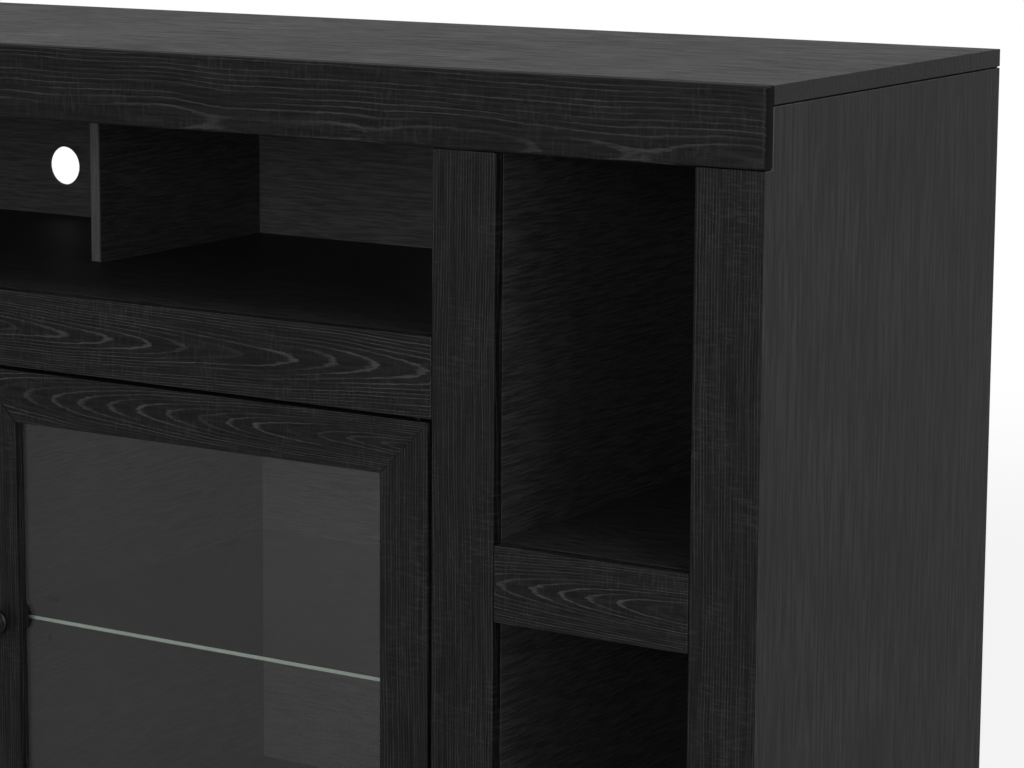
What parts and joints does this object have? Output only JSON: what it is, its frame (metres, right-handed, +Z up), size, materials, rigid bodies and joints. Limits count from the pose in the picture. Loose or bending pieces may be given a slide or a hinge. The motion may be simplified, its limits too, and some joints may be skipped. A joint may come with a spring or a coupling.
{
  "type": "media cabinet",
  "caption": "Long black wood-grain media cabinet with glass doors on pivot pins, open upper compartments, side bays with fixed shelves and glass shelves inside.",
  "frame": {"origin": "centre of the footprint at floor level, taken over the carcass and the closed doors' knobs", "axes": "+X to the right along the width seen from the front, +Y from the front to the back, +Z up"},
  "size_m": [1.473, 0.428, 0.838],
  "materials": {
    "black_wood": "black stained grain, satin lacquer",
    "black_wood_inside": "black stained grain, satin",
    "back_board": "black printed hardboard, matt",
    "shelf_glass": "clear with a green polished edge",
    "door_glass": "clear",
    "knob_metal": "satin black",
    "zinc_steel": "zinc plated",
    "dark_screw": "black oxide",
    "black_plastic": "matt moulded",
    "plain_wood": "unfinished softwood"
  },
  "bodies": {
    "cabinet": {"top_panel": "black_wood", "apron": "black_wood", "side_panel_left": "black_wood", "side_panel_right": "black_wood", "outer_post_left": "black_wood", "outer_post_right": "black_wood", "inner_post_left": "black_wood", "inner_post_right": "black_wood", "partition_left": "black_wood_inside", "partition_right": "black_wood_inside", "centre_partition": "black_wood_inside", "upper_divider": "black_wood_inside", "centre_shelf": "black_wood_inside", "centre_rail": "black_wood", "bay_shelf_left": "black_wood_inside", "bay_shelf_right": "black_wood_inside", "bay_rail_left": "black_wood", "bay_rail_right": "black_wood", "bottom_panel": "black_wood_inside", "bottom_rail_centre": "black_wood", "bottom_rail_left": "black_wood", "bottom_rail_right": "black_wood", "back_panel_left": "back_board", "back_panel_centre": "back_board", "back_panel_right": "back_board", "glass_shelf_left": "shelf_glass", "glass_shelf_right": "shelf_glass", "shelf_pins": "dark_screw", "pivot_bushes": "dark_screw", "magnet_catches": "black_plastic", "leg_blocks": "black_wood", "foot_glides": "black_plastic", "dowels": "plain_wood", "cam_locks": "zinc_steel", "cam_bolts": "zinc_steel", "back_screws": "dark_screw"},
    "door_left": {"door_left_outer_stile": "black_wood", "door_left_inner_stile": "black_wood", "door_left_top_rail": "black_wood", "door_left_bottom_rail": "black_wood", "door_left_glass": "door_glass", "door_left_beads": "black_wood", "door_left_knob": "knob_metal", "door_left_knob_screw": "zinc_steel", "door_left_strike_plate": "zinc_steel", "door_left_pivot_pins": "dark_screw"},
    "door_right": {"door_right_outer_stile": "black_wood", "door_right_inner_stile": "black_wood", "door_right_top_rail": "black_wood", "door_right_bottom_rail": "black_wood", "door_right_glass": "door_glass", "door_right_beads": "black_wood", "door_right_knob": "knob_metal", "door_right_knob_screw": "zinc_steel", "door_right_strike_plate": "zinc_steel", "door_right_pivot_pins": "dark_screw"}
  },
  "joints": [
    {"name": "door_left_hinge", "type": "hinge", "parent": "cabinet", "child": "door_left", "pos_m": [-0.44214, -0.18525, 0.351], "axis": [0, 0, -1], "range_deg": [0, 110]},
    {"name": "door_right_hinge", "type": "hinge", "parent": "cabinet", "child": "door_right", "pos_m": [0.44214, -0.18525, 0.351], "axis": [0, 0, 1], "range_deg": [0, 110]}
  ]
}
